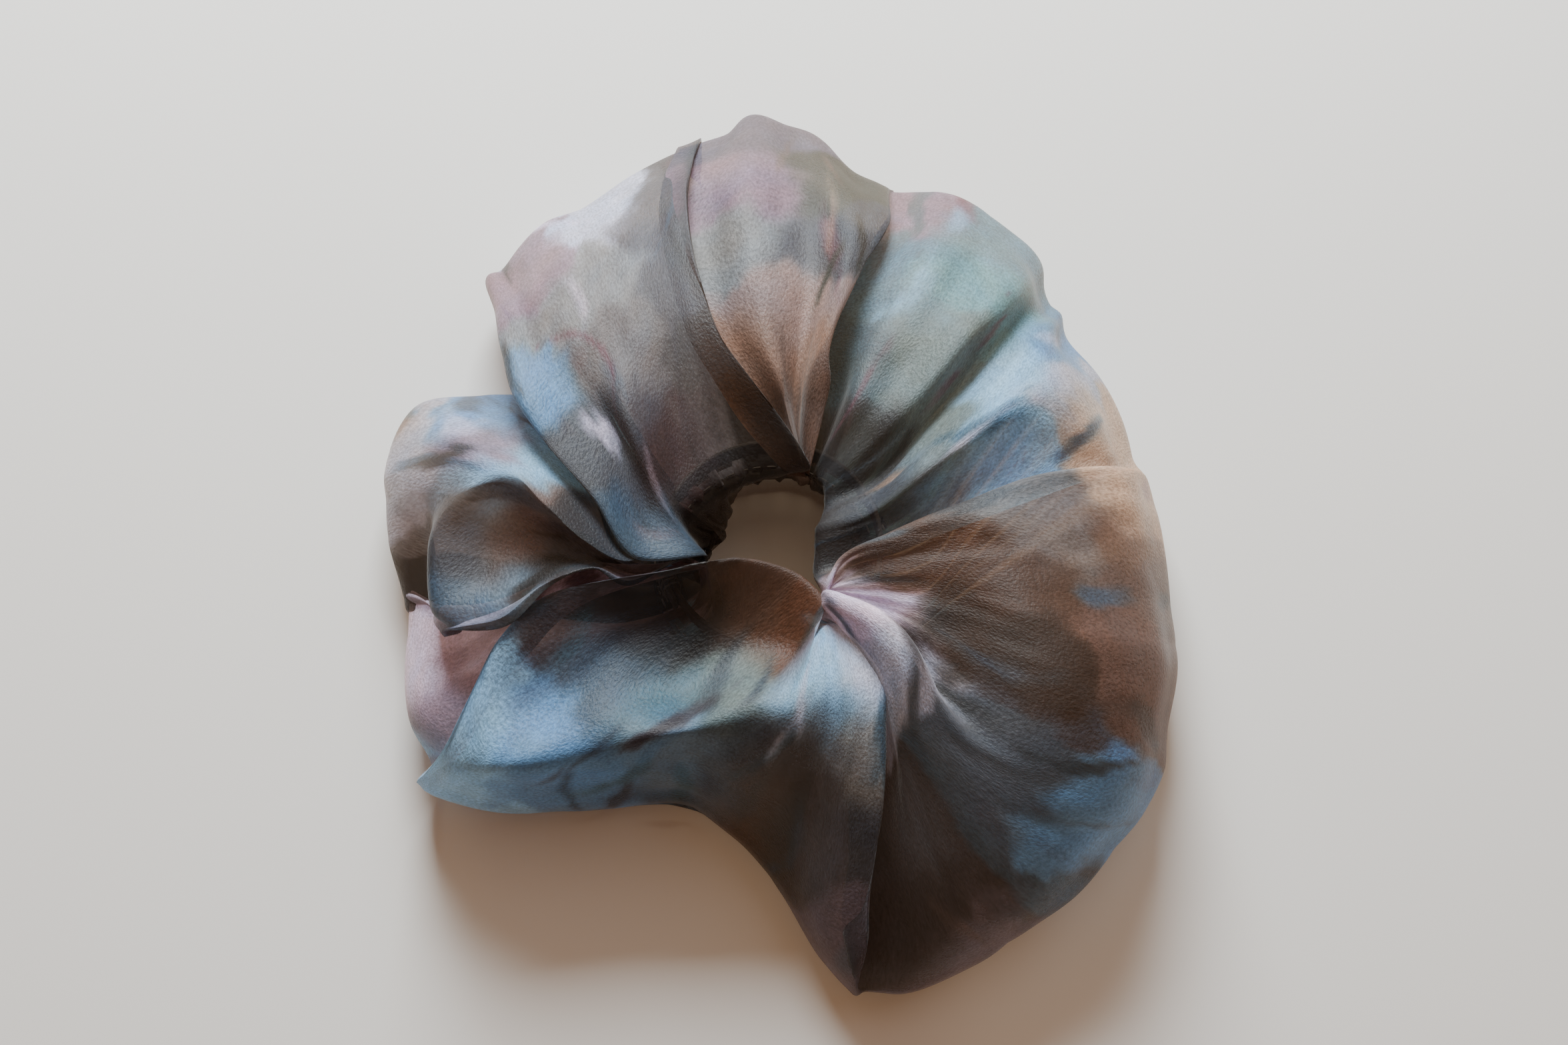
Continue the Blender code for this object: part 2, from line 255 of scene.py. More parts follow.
def hermite(knots, points, at):
    """Smooth curve through points (first axis) at increasing knots, read at the given places.

    Tangents come from the neighbours, which keeps a tight fold from overshooting.
    """
    knots = np.asarray(knots, float)
    shape = (-1, *[1] * (points.ndim - 1))
    gaps = np.diff(knots)
    slopes = np.diff(points, axis=0) / gaps.reshape(shape)
    share = (gaps[:-1] / (gaps[:-1] + gaps[1:])).reshape(shape)
    tangents = np.empty_like(points)
    tangents[1:-1] = slopes[:-1] * (1 - share) + slopes[1:] * share
    tangents[0], tangents[-1] = slopes[0], slopes[-1]
    i = np.clip(np.searchsorted(knots, at, side="right") - 1, 0, len(gaps) - 1)
    t = ((at - knots[i]) / gaps[i]).reshape(shape)
    h = gaps[i].reshape(shape)
    a, b, ta, tb = points[i], points[i + 1], tangents[i] * h, tangents[i + 1] * h
    ease = 3 * t**2 - 2 * t**3
    return a * (1 - ease) + b * ease + ta * (t**3 - 2 * t**2 + t) + tb * (t**3 - t**2)


def smooth_round(values, passes):
    """Averages a closed row of values with its neighbours."""
    for _ in range(passes):
        values = 0.25 * np.roll(values, 1, 0) + 0.5 * values + 0.25 * np.roll(values, -1, 0)
    return values


def falling(angles):
    """The nearest run of angles that only falls."""
    low = np.minimum.accumulate(angles)
    high = np.maximum.accumulate(angles[::-1])[::-1]
    return (low + high) / 2


def polar(angle, radius, height):
    """Points round the hole's middle, as (x, y, z)."""
    angle, radius, height = np.broadcast_arrays(angle, radius, height)
    x, y = HOLE[0] + radius * np.cos(angle), HOLE[1] + radius * np.sin(angle)
    return np.stack([x, y, height], axis=-1)


def full_ribs():
    """The ribs with their wall below the lip and their way back under the petal, from seam to seam.

    Also gives the lip's row and each rib's angle at the hole's wall.
    """
    top = np.array([rib for ribs in PETALS.values() for rib in ribs], float)
    lip, rim = top[:, 0], top[:, -1]
    raw = np.unwrap(np.arctan2(lip[:, 1] - HOLE[1], lip[:, 0] - HOLE[0]))
    turn = falling(raw)
    steady = turn[0] - 2 * math.pi * np.arange(len(turn)) / len(turn)
    turn = steady + smooth_round(turn - steady, 3)
    outward = np.stack([np.cos(turn), np.sin(turn)], axis=1)
    foot = smooth_round(rim[:, :2], 2)

    def inward(share, height):
        spot = np.empty_like(rim)
        spot[:, :2] = foot * (1 - share) + (HOLE + outward * UNDERSIDE_END) * share
        spot[:, 2] = height
        return spot

    low, high = SEAM_HEIGHTS
    wall = [polar(turn, SEAM_REACH, high), polar(turn, SEAM_LINE, high - 0.1)]
    bulge = WALL_BULGE * np.exp((np.cos(turn - BULGE_TURN) - 1) / BULGE_SPREAD)
    wall_foot, wall_middle = WALL_HEIGHTS
    wall.append(polar(turn, WALL_RADIUS + 1.1 - 0.5 * bulge, wall_foot))
    wall.append(polar(turn, WALL_RADIUS - bulge, wall_middle))
    shoulder = 0.45 * wall[-1] + 0.55 * lip
    shoulder[:, 2] = 0.5 * (wall_middle + lip[:, 2])
    wall.append(shoulder)
    curl = rim.copy()
    curl[:, :2] = 0.9 * rim[:, :2] + 0.1 * foot - outward
    curl[:, 2] = 0.45 * rim[:, 2]
    under = [curl, *(inward(share, height) for share, height in UNDERSIDE)]
    under += [polar(turn, 22.5, 1.2), polar(turn, 19.6, 2.2), polar(turn, SEAM_LINE + 0.6, low - 0.1)]
    under.append(polar(turn, SEAM_REACH, low))
    return np.concatenate([np.stack(wall, 1), top, np.stack(under, 1)], axis=1), len(wall), turn


def cover_grid():
    """The strip as a grid of points [round the ring, from seam to seam], with what places a point on it.

    For each column that is its rib, as a fraction of one, and its angle at the hole's wall. For each row
    it is its place along a rib, with 0 at the lip and RIM_ROW at the rim.
    """
    ribs, lip_row, turn = full_ribs()
    rim_row = lip_row + RIM_ROW
    ribs = np.concatenate([ribs, ribs[:1]])
    turn = np.append(turn, turn[0] - 2 * math.pi)
    steps = np.linalg.norm(np.diff(ribs, axis=1), axis=2).mean(0)
    knots_v = np.concatenate([[0], np.cumsum(steps)])
    rows = np.concatenate([
        np.linspace(knots_v[0], knots_v[lip_row], ROWS_WALL, endpoint=False),
        np.linspace(knots_v[lip_row], knots_v[rim_row], ROWS_TOP, endpoint=False),
        np.linspace(knots_v[rim_row], knots_v[-1], ROWS_UNDER),
    ])
    lofted = hermite(knots_v, ribs.swapaxes(0, 1), rows).swapaxes(0, 1)
    ahead = np.linalg.norm(np.diff(ribs, axis=0), axis=2)[:, lip_row + 1 : rim_row + 1]
    step = np.maximum(0.5 * ahead.mean(1) + 0.5 * ahead.max(1), 1.5)
    knots_u = np.concatenate([[0], np.cumsum(step)])
    columns = np.linspace(0, knots_u[-1], COLUMNS)
    grid = hermite(knots_u, lofted, columns)
    at_rib = np.interp(columns, knots_u, np.arange(len(knots_u)))
    at_turn = np.interp(columns, knots_u, turn)
    at_row = np.interp(rows, knots_v, np.arange(len(knots_v))) - lip_row
    return grid, at_rib, at_turn, at_row


def normals_of(grid):
    """Unit normals of a grid of points, out of the tube."""
    along, across = np.gradient(grid, axis=0), np.gradient(grid, axis=1)
    normal = np.cross(along, across)
    return normal / np.maximum(np.linalg.norm(normal, axis=-1, keepdims=True), 1e-9)


def lattice_noise(rng, u, v, size_u, size_v):
    """Smooth noise from -1 to 1 over cloth places u and v, with blots of the given size."""
    u, v = u / size_u, v / size_v
    cells = rng.uniform(-1, 1, (int(u.max() - u.min()) + 4, int(v.max() - v.min()) + 4))
    u, v = u - u.min() + 0.5, v - v.min() + 0.5
    i, j = u.astype(int), v.astype(int)
    s, t = u - i, v - j
    s, t = s * s * (3 - 2 * s), t * t * (3 - 2 * t)
    near = cells[i, j] * (1 - t) + cells[i, j + 1] * t
    far = cells[i + 1, j] * (1 - t) + cells[i + 1, j + 1] * t
    return near * (1 - s) + far * s


def bump(x, low, high, fade):
    """1 between low and high, easing to 0 over the fade on both sides."""
    t = np.clip(np.minimum(x - (low - fade), (high + fade) - x) / fade, 0, 1)
    return t * t * (3 - 2 * t)


def crease(grid, at_turn, at_row):
    """Moves the smooth strip into gathers near the hole, creases over the petals and folds down the sides.

    Also gives every point's place on the cloth, in millimetres round the ring and along its rib.
    """
    rng = np.random.default_rng(CREASE_SEED)
    length = np.linalg.norm(np.diff(grid, axis=0), axis=2)[:, ROWS_WALL + ROWS_TOP // 2]
    u = np.concatenate([[0], np.cumsum(length)])[:, None] + 0 * at_row
    v = np.cumsum(np.linalg.norm(np.diff(grid, axis=1, prepend=grid[:, :1]), axis=2), axis=1)
    turn = at_turn[:, None]
    row = at_row[None, :]
    # Gathers: pleats in the wall of the hole, where the elastic holds the cloth together.
    broad = np.cos(GATHERS * turn + 1.4 * np.sin(2 * turn))
    narrow = np.cos(1.62 * GATHERS * turn + 0.7)
    pleat = 0.6 * broad + 0.4 * narrow
    move = GATHER_DEPTH * pleat * bump(row, *WALL_ROWS)
    # The same gathers on the underside, where the cloth lies on the table, so they only rise.
    rise = FOOT_DEPTH * (0.5 + 0.5 * pleat) * bump(row, *FOOT_ROWS)
    # Soft folds along the ribs and short creases across them.
    over = bump(row, *TOP_ROWS)
    folds = lattice_noise(rng, u, v, 11.0, 60.0) + 0.5 * lattice_noise(rng, u, v, 5.0, 34.0)
    ridges = 0.5 - np.abs(lattice_noise(rng, u + 0.35 * v, v, 13.0, 38.0))
    cross = 0.5 - np.abs(lattice_noise(rng, u - 0.9 * v, v, 17.0, 21.0))
    fine = lattice_noise(rng, u, v, 2.6, 7.5)
    move = move + over * (FOLD_DEPTH * folds + CREASE_DEPTH * (ridges + 0.6 * cross) + FINE_DEPTH * fine)
    # Folds that fall down the sides and turn under the rim.
    narrow_falls = lattice_noise(rng, u, v, 10.0, 70.0)
    broad_falls = 0.5 - np.abs(lattice_noise(rng, u, v, 19.0, 90.0))
    move = move + SIDE_DEPTH * bump(row, *SIDE_ROWS) * (narrow_falls + 0.9 * broad_falls)
    grid = grid - normals_of(grid) * move[..., None]
    grid[..., 2] += rise
    grid[..., 2] = np.maximum(grid[..., 2], LOWEST)
    return grid, u, v


def turned_ends(grid, at_row):
    """Adds the strip's short ends, turned in under its surface beside the closing seam.

    They thin out where they pass under the lengthwise seam, which leaves no room for them.
    """
    room = SEAM_ROOM + (1 - SEAM_ROOM) * bump(at_row, *CLEAR_ROWS)
    inside = -normals_of(grid) * room[:, None]
    first = [grid[0] + inside[0] * depth for depth in ALLOWANCE]
    last = [grid[-1] + inside[-1] * depth for depth in reversed(ALLOWANCE)]
    grid = np.concatenate([first, grid, last])
    grid[..., 2] = np.maximum(grid[..., 2], LOWEST)
    return grid


def mesh_from(name, points, faces):
    mesh = bpy.data.meshes.new(name)
    mesh.from_pydata((np.asarray(points) * MM).tolist(), [], faces)
    mesh.update()
    obj = bpy.data.objects.new(name, mesh)
    bpy.context.scene.collection.objects.link(obj)
    mesh.shade_smooth()
    return obj


def grid_faces(columns, rows):
    i, j = np.meshgrid(np.arange(columns - 1), np.arange(rows - 1), indexing="ij")
    corner = i * rows + j
    faces = np.stack([corner, corner + rows, corner + rows + 1, corner + 1], axis=-1)
    return faces.reshape(-1, 4).tolist()


def from_view(code):
    """About the linear colour that the default view transform shows as this sRGB colour code.

    It comes out a little stronger and cooler, by VIVID and COOLED.
    """
    shown = np.array([int(code[i : i + 2], 16) / 255 for i in (0, 2, 4)])
    shown = np.clip(shown.mean() + VIVID * (shown - shown.mean()), 0.02, 0.95)
    logit = np.log(shown / (1 - shown))
    return 0.18 * 2.0 ** (1.85 * (logit + 0.148)) * COOLED


# ---------------------------------------------------------------- the print, with painted highlights
VIVID = 1.15  # what the view transform and the haze of the weave take from the colours
COOLED = np.array([0.91, 1.0, 1.10])  # against the warmth of the light that comes through the cloth
LIT = 1.75  # radiance of a white cloth in the key light, so that a colour below is how it looks lit
INKS = {
    "pearl": "bdbabe", "lilac": "c6c6cc", "silver": "9d9c9b", "stone": "8b8583",
    "slate": "5c5d64", "charcoal": "413f40", "coal": "262220", "rose": "a5919a", "blush": "ae9c96",
    "peach": "aa9180", "clay": "846c60", "rust": "84675a", "brown": "6c5245", "umber": "473830",
    "moss": "4d4f44", "sage": "8d9591", "sea": "859ba1", "aqua": "8fa9aa", "teal": "65777b",
    "turquoise": "587c89", "sky": "84a4b8", "ice": "adc2cc", "mist": "98a4ac", "steel": "5c7182",
    "indigo": "363f4b", "mauve": "857c86", "plum": "43363a", "cream": "c5b6a7",
    "ember": "704630", "copper": "80593f", "shell": "d2cbd0", "wine": "83525f", "ink": "1c1a19",
    "pine": "2f332b", "petrol": "35556b", "sand": "bda48f",
}
# Broad washes on each petal, as (ink, x, y) seen from above: the print, and painted highlights where
# noted.
WASHES_AND_HIGHLIGHTS = {
    "grey petal": [
        ("rose", -57, 52), ("lilac", -38, 67), ("silver", -38, 44), ("slate", -21, 62),
        ("slate", -20, 44), ("stone", -31, 26), ("sky", -47, 16), ("charcoal", -15, 24), ("coal", -3, 9),
        ("slate", -36, 6), ("plum", -20, 0), ("coal", -10, -6), ("steel", -27, -14),
    ],
    "top petal": [
        ("mauve", -5, 90), ("rose", -4, 73), ("moss", 10, 76), ("silver", -5, 56), ("slate", 9, 57),
        ("blush", 1, 40), ("peach", -2, 29), ("clay", 5, 17),
    ],
    "teal petal": [
        ("rose", 31, 71), ("sea", 46, 63), ("aqua", 40, 47), ("sea", 26, 44), ("sage", 31, 28),
        ("teal", 18, 25), ("charcoal", 14, 8),
    ],
    "pale blue petal": [
        ("sky", 56, 35), ("ice", 48, 20), ("pearl", 60, 22), ("cream", 70, 14), ("sage", 32, 9),
        ("slate", 20, 1), ("charcoal", 12, -12), ("ice", 47, 5), ("mist", 32, -1),
    ],
    "brown petal": [
        # The shell and the lilac here are a painted highlight: the satin sheen along the rolled lip of the
        # fold by the hole.
        ("shell", 16, -32), ("lilac", 24, -44), ("brown", 29, -18), ("umber", 33, -35),
        ("stone", 53, -13), ("cream", 73, -3), ("clay", 74, -20), ("brown", 46, -27), ("umber", 48, -42),
        ("rust", 70, -37), ("slate", 46, -58), ("sky", 60, -65), ("charcoal", 29, -70),
        ("coal", 27, -87), ("mauve", 32, -94),
    ],
    "charcoal petal": [
        ("lilac", 15, -42), ("ice", 6, -45), ("mist", 5, -53), ("silver", 16, -59), ("slate", -3, -58),
        ("slate", 14, -71), ("charcoal", 4, -70), ("brown", -5, -66), ("mauve", 12, -89),
    ],
    "blue petal": [
        ("ember", 4, -30), ("brown", -6, -25), ("coal", -16, -24), ("indigo", -25, -30),
        ("slate", -39, -28), ("sage", -7, -41), ("turquoise", -20, -44), ("steel", -33, -38),
        # The sky at (-36, -61) and the steel at (-18, -60) are the print made lighter: a painted highlight
        # for the silvery sheen along the ridge, on its shaded underside.
        ("sky", -44, -50), ("sky", -36, -61), ("ice", -60, -50), ("mist", -18, -53), ("steel", -18, -60),
    ],
    "pink tuck": [("shell", -70, -36), ("rose", -65, -43), ("ice", -70, -54)],
    "pocket petal": [
        ("ice", -58, -1), ("rust", -52, -9), ("charcoal", -41, -16), ("mist", -50, -23),
        ("slate", -62, -13), ("steel", -62, -27), ("pearl", -76, 5), ("coal", -75, -17),
        ("sky", -60, 17), ("rose", -60, 8), ("ice", -45, 3), ("indigo", -34, -13),
    ],
}
# The inks of the brush strokes that lie over the washes, drawn at random.
ACCENTS = {
    "grey petal": ("coal", "charcoal", "steel", "indigo", "shell", "wine"),
    "top petal": ("pine", "coal", "sand", "clay", "wine"),
    "teal petal": ("wine", "petrol", "teal", "sage", "ice"),
    "pale blue petal": ("sand", "shell", "petrol", "slate"),
    "brown petal": ("coal", "moss", "clay", "steel", "indigo", "plum", "rose", "charcoal"),
    "charcoal petal": ("ink", "indigo", "petrol", "steel", "lilac"),
    "blue petal": ("petrol", "turquoise", "indigo", "plum", "sky"),
    "pink tuck": ("rose", "wine"),
    "pocket petal": ("coal", "copper", "indigo", "petrol", "shell"),
}
PRINT_SEED = 11
STROKES_PER_RIB = 2.6
STROKE_HALF_LENGTH = (6.0, 15.0)  # this and the next four are each (least, most)
STROKE_HALF_WIDTH = (0.9, 3.0)
STROKE_BEND = (-0.03, 0.03)
STROKE_LEAN = (-0.35, 0.35)
STROKE_STRENGTH = (0.4, 0.85)
WASH_SOFTNESS = 3.9  # how far one wash runs into the next
WASH_RAGGED = 0.5  # how much nearer or further noise makes a wash seem
RIM_BEND = 82  # the row of the cloth's top, from the lip, where the sides begin
RUN_ON = 0.7  # how far the washes run on there, for each millimetre of cloth
RUN = ((13.0, 3.5), (4.5, 1.8), (1.6, 0.7))  # the ragged edges of the inks: (size, reach)
RUN_STRETCH = 1.6  # how much longer those are along the ribs
DRY_EDGE = 0.4  # how ragged a stroke's edge is


def ink_colour(ink):
    return from_view(INKS[ink]) / LIT


def wash_and_highlight_colour(rng, name, x, y):
    """The logarithm of the print's colour, with its painted highlights, at places on a petal: mostly the
    nearest wash, ragged-edged.
    """
    distance = []
    for _, at_x, at_y in WASHES_AND_HIGHLIGHTS[name]:
        edge = lattice_noise(rng, x, y, 10.0, 10.0) + 0.5 * lattice_noise(rng, x, y, 4.0, 4.0)
        distance.append(((x - at_x) ** 2 + (y - at_y) ** 2) * (1 + WASH_RAGGED * edge))
    nearest = np.minimum.reduce(distance)
    total = np.zeros(x.shape)
    colour = np.zeros((*x.shape, 3))
    for (ink, _, _), far in zip(WASHES_AND_HIGHLIGHTS[name], distance):
        weight = np.exp((nearest - far) / (2 * WASH_SOFTNESS**2))
        total += weight
        colour += weight[..., None] * np.log(ink_colour(ink))
    return colour / total[..., None]


def brushed(rng, inked, inks, u, v, columns, grain):
    """Lays brush strokes over a petal's washes, along its ribs, with dry and ragged edges."""
    for _ in range(int(STROKES_PER_RIB * len(columns))):
        ink = np.log(ink_colour(inks[rng.integers(len(inks))]))
        column = columns[rng.integers(len(columns))]
        row = rng.integers(ROWS_WALL, ROWS_WALL + ROWS_TOP)
        half_length, half_width = rng.uniform(*STROKE_HALF_LENGTH), rng.uniform(*STROKE_HALF_WIDTH)
        bend, lean = rng.uniform(*STROKE_BEND), rng.uniform(*STROKE_LEAN)
        strength = rng.uniform(*STROKE_STRENGTH)
        ahead = v - v[column, row]
        aside = u - u[column, row] - lean * ahead - bend * ahead**2
        t = np.clip(1.25 - np.hypot(ahead / half_length, aside / half_width) + DRY_EDGE * grain, 0, 1)
        wet = strength * (t * t * (3 - 2 * t))[..., None]
        inked = inked * (1 - wet) + ink * wet
    return inked


def print_and_highlight_colours(grid, u, v, at_rib):
    """The print's colour at every point of the strip, with painted highlights on the brown and blue
    petals.
    """
    rng = np.random.default_rng(PRINT_SEED)
    # Below the rim's bend the washes run on outward, as they would on the flat cloth.
    away = grid[..., :2] - HOLE
    away /= np.linalg.norm(away, axis=-1, keepdims=True)
    past = RUN_ON * np.maximum(v - v[:, [ROWS_WALL + RIM_BEND]], 0)
    x, y = grid[..., 0] + past * away[..., 0], grid[..., 1] + past * away[..., 1]
    for size, reach in RUN:
        x += reach * lattice_noise(rng, u, v, size, size * RUN_STRETCH)
        y += reach * lattice_noise(rng, u, v, size, size * RUN_STRETCH)
    grain = lattice_noise(rng, u, v, 1.2, 6.0) + 0.6 * lattice_noise(rng, u, v, 4.0, 4.0)
    colour = np.zeros_like(grid)
    first = 0
    for name, ribs in PETALS.items():
        last = first + len(ribs) - 1
        share = np.clip(np.minimum(at_rib - first + 1, last + 1 - at_rib), 0, 1)
        if first == 0:
            share[at_rib < 1] = 1
        if last == RIB_COUNT - 1:
            share[at_rib > last] = 1
        columns = np.flatnonzero(share)
        inked = wash_and_highlight_colour(rng, name, x, y)
        inked = brushed(rng, inked, ACCENTS[name], u, v, columns[:: COLUMNS // RIB_COUNT], grain)
        colour += share[:, None, None] * np.exp(inked)
        first = last + 1
    return colour


def make_cover():
    grid, at_rib, at_turn, at_row = cover_grid()
    grid, u, v = crease(grid, at_turn, at_row)
    colour = print_and_highlight_colours(grid, u, v, at_rib)
    ends = len(ALLOWANCE)
    grid = turned_ends(grid, at_row)
    cover = mesh_from("cover", grid.reshape(-1, 3), grid_faces(*grid.shape[:2]))
    colour = np.concatenate([colour[:1]] * ends + [colour] + [colour[-1:]] * ends).reshape(-1, 3)
    # The print attribute also holds the painted highlights on the brown and blue petals.
    ink = cover.data.attributes.new("print", "FLOAT_COLOR", "POINT")
    ink.data.foreach_set("color", np.concatenate([colour, np.ones((len(colour), 1))], axis=1).ravel())
    along = np.linspace(0, CLOTH_LENGTH, len(grid))[:, None] + np.zeros(grid.shape[1])
    across = np.linspace(0, CLOTH_WIDTH, grid.shape[1])[None, :] + np.zeros((len(grid), 1))
    cloth_uv = np.stack([along, across], axis=-1).reshape(-1, 2)
    corners = np.empty(len(cover.data.loops), int)
    cover.data.loops.foreach_get("vertex_index", corners)
    cover.data.uv_layers.new(name="cloth").data.foreach_set("uv", cloth_uv[corners].ravel())
    return cover, grid


# ---------------------------------------------------------------- materials
def new_material(name):
    """A material with only its output, and helpers that add a node and join two sockets."""
    mat = bpy.data.materials.new(name)
    mat.use_nodes = True
    tree = mat.node_tree
    tree.nodes.clear()

    def add(kind, **inputs):
        node = tree.nodes.new(kind)
        for socket, value in inputs.items():
            node.inputs[socket.replace("_", " ")].default_value = value
        return node

    def join(source, target):
        tree.links.new(source, target)

    return mat, add, join


def fabric_noise(add, join, per_metre, detail, uv):
    """Noise in cloth places, with (round the ring, along the ribs) features per metre."""
    scale = add("ShaderNodeMapping", Scale=(per_metre[0], per_metre[1], 1.0))
    join(uv, scale.inputs["Vector"])
    noise = add("ShaderNodeTexNoise", Scale=1.0, Detail=detail, Roughness=0.55)
    noise.noise_dimensions = "2D"
    join(scale.outputs["Vector"], noise.inputs["Vector"])
    return noise.outputs["Fac"]


def scaled(add, join, source, low, high):
    """A noise's 0.25 to 0.75, stretched to low and high."""
    node = add("ShaderNodeMapRange", From_Min=0.25, From_Max=0.75, To_Min=low, To_Max=high)
    join(source, node.inputs["Value"])
    return node.outputs["Result"]


def multiplied(add, join, first, second):
    node = add("ShaderNodeMath")
    node.operation = "MULTIPLY"
    join(first, node.inputs[0])
    join(second, node.inputs[1])
    return node.outputs[0]


def organza_material():
    """Sheer satin: bright along its floats, see-through, with the print in it and a fine crepe grain."""
    mat, add, join = new_material("printed_cloth")
    uv = add("ShaderNodeUVMap")
    uv.uv_map = "cloth"
    uv = uv.outputs["UV"]
    # The print attribute holds the print and the painted highlights.
    ink = add("ShaderNodeAttribute")
    ink.attribute_name = "print"
    brush = scaled(add, join, fabric_noise(add, join, BRUSH_PER_METRE, 3.0, uv), 0.86, 1.14)
    bloom = scaled(add, join, fabric_noise(add, join, BLOOM_PER_METRE, 4.0, uv), 0.88, 1.12)
    grain_noise = fabric_noise(add, join, GRAIN_PER_METRE, 2.0, uv)
    grain = scaled(add, join, grain_noise, 0.70, 1.30)
    strength = multiplied(add, join, multiplied(add, join, brush, bloom), grain)
    wash = fabric_noise(add, join, WASH_PER_METRE, 3.0, uv)
    ramp = add("ShaderNodeValToRGB")
    ramp.color_ramp.elements[0].position = 0.32
    ramp.color_ramp.elements[0].color = WARM_WASH
    ramp.color_ramp.elements[1].position = 0.68
    ramp.color_ramp.elements[1].color = COOL_WASH
    join(wash, ramp.inputs["Fac"])
    tinted = add("ShaderNodeVectorMath")
    tinted.operation = "MULTIPLY"
    join(ink.outputs["Color"], tinted.inputs[0])
    join(ramp.outputs["Color"], tinted.inputs[1])
    colour = add("ShaderNodeVectorMath")
    colour.operation = "SCALE"
    join(tinted.outputs["Vector"], colour.inputs[0])
    join(strength, colour.inputs["Scale"])
    relief = add("ShaderNodeBump", Strength=0.8, Distance=0.0002)
    join(grain_noise, relief.inputs["Height"])
    tangent = add("ShaderNodeTangent")
    tangent.direction_type = "UV_MAP"
    tangent.uv_map = "cloth"
    satin = add(
        "ShaderNodeBsdfPrincipled", Roughness=0.52, Anisotropic=0.5, Specular_IOR_Level=0.4,
        Sheen_Weight=0.22, Sheen_Roughness=0.4,
    )
    join(colour.outputs["Vector"], satin.inputs["Base Color"])
    join(relief.outputs["Normal"], satin.inputs["Normal"])
    join(tangent.outputs["Tangent"], satin.inputs["Tangent"])
    through = add("ShaderNodeBsdfTranslucent")
    join(colour.outputs["Vector"], through.inputs["Color"])
    cloth = add("ShaderNodeMixShader", Fac=0.2)
    join(satin.outputs[0], cloth.inputs[1])
    join(through.outputs[0], cloth.inputs[2])
    gaps = add("ShaderNodeBsdfTransparent", Color=GAPS_TINT)
    sheer = add("ShaderNodeMixShader", Fac=OPACITY)
    join(gaps.outputs[0], sheer.inputs[1])
    join(cloth.outputs[0], sheer.inputs[2])
    out = add("ShaderNodeOutputMaterial")
    join(sheer.outputs[0], out.inputs["Surface"])
    return mat


def ribbed_material(name, colour, bands_per_metre, roughness):
    """Elastic or thread: a plain colour with fine ribs across it, from the piece's own places."""
    mat, add, join = new_material(name)
    place = add("ShaderNodeTexCoord")
    bands = add("ShaderNodeTexWave", Scale=bands_per_metre, Distortion=0.6, Detail=1.0)
    bands.bands_direction = "Z"
    join(place.outputs["Object"], bands.inputs["Vector"])
    speckle = add("ShaderNodeTexNoise", Scale=3000.0, Detail=2.0)
    join(place.outputs["Object"], speckle.inputs["Vector"])
    shade = scaled(add, join, speckle.outputs["Fac"], 0.85, 1.1)
    tint = add("ShaderNodeVectorMath")
    tint.operation = "SCALE"
    tint.inputs[0].default_value = colour
    join(shade, tint.inputs["Scale"])
    relief = add("ShaderNodeBump", Strength=0.5, Distance=0.0001)
    join(bands.outputs["Fac"], relief.inputs["Height"])
    body = add("ShaderNodeBsdfPrincipled", Roughness=roughness, Sheen_Weight=0.2)
    join(tint.outputs["Vector"], body.inputs["Base Color"])
    join(relief.outputs["Normal"], body.inputs["Normal"])
    out = add("ShaderNodeOutputMaterial")
    join(body.outputs[0], out.inputs["Surface"])
    return mat


# ---------------------------------------------------------------- elastic and stitches
ELASTIC_RADIUS = 22.1  # middle of the band's thickness, where it starts
ELASTIC_WIDTH = 6.0
ELASTIC_THICKNESS = 1.0
ELASTIC_HEIGHT = 11.0  # middle of the band above the table
ELASTIC_GAP = 0.3  # between the lapped ends
ELASTIC_START = 188.0  # degrees
ELASTIC_OVERLAP = 24.0  # degrees
ELASTIC_CORDS = 9  # side by side across the band
CORD_DEPTH = 0.07  # as a share of half the band's thickness
RIPPLE = 0.05  # of the band, in and out
ELASTIC_SIDES = 28  # of the band's outline
ELASTIC_STEPS = 260  # along the band
THREAD_RADIUS = 0.22
THREAD_END = 0.55  # share of its radius that a thread keeps at its ends
TACK_TURNS = 5
STITCH_PITCH = 3.0
STITCH_SHARE = 0.72  # of the pitch that shows as thread


def joined(name, parts):
    """One mesh of closed strands with flat ends, each given as its rings of points."""
    points, faces = [], []
    start = 0
    for rings in parts:
        count, size = rings.shape[:2]
        for i in range(count - 1):
            for j in range(size):
                k = (j + 1) % size
                quad = (i * size + j, (i + 1) * size + j, (i + 1) * size + k, i * size + k)
                faces.append(tuple(start + corner for corner in quad))
        end = start + (count - 1) * size
        faces.append(tuple(range(start, start + size)))
        faces.append(tuple(reversed(range(end, end + size))))
        points.append(rings.reshape(-1, 3))
        start += count * size
    return mesh_from(name, np.concatenate(points), faces)


def elastic_loop():
    """A woven band with rounded edges and lengthwise cords, its ends lapped."""
    profile = []
    for step in range(ELASTIC_SIDES):
        angle = 2 * math.pi * step / ELASTIC_SIDES
        out, up = math.cos(angle), math.sin(angle)
        reach = (out**6 + up**6) ** (-1 / 6)
        cord = CORD_DEPTH * math.cos(ELASTIC_CORDS * math.pi * up * reach)
        across = 0.5 * ELASTIC_THICKNESS * out * reach * (1 - cord)
        profile.append((across, 0.5 * ELASTIC_WIDTH * up * reach))
    rings = []
    for step in range(ELASTIC_STEPS + 1):
        along = (360.0 + ELASTIC_OVERLAP) * step / ELASTIC_STEPS
        climb = (ELASTIC_THICKNESS + ELASTIC_GAP) * along / 360.0
        angle = math.radians(ELASTIC_START + along)
        ripple = RIPPLE * math.cos(step * 2.1)
        rings.append([
            polar(angle, ELASTIC_RADIUS + climb + across + ripple, ELASTIC_HEIGHT + up)
            for across, up in profile
        ])
    return joined("elastic_band", [np.array(rings)])


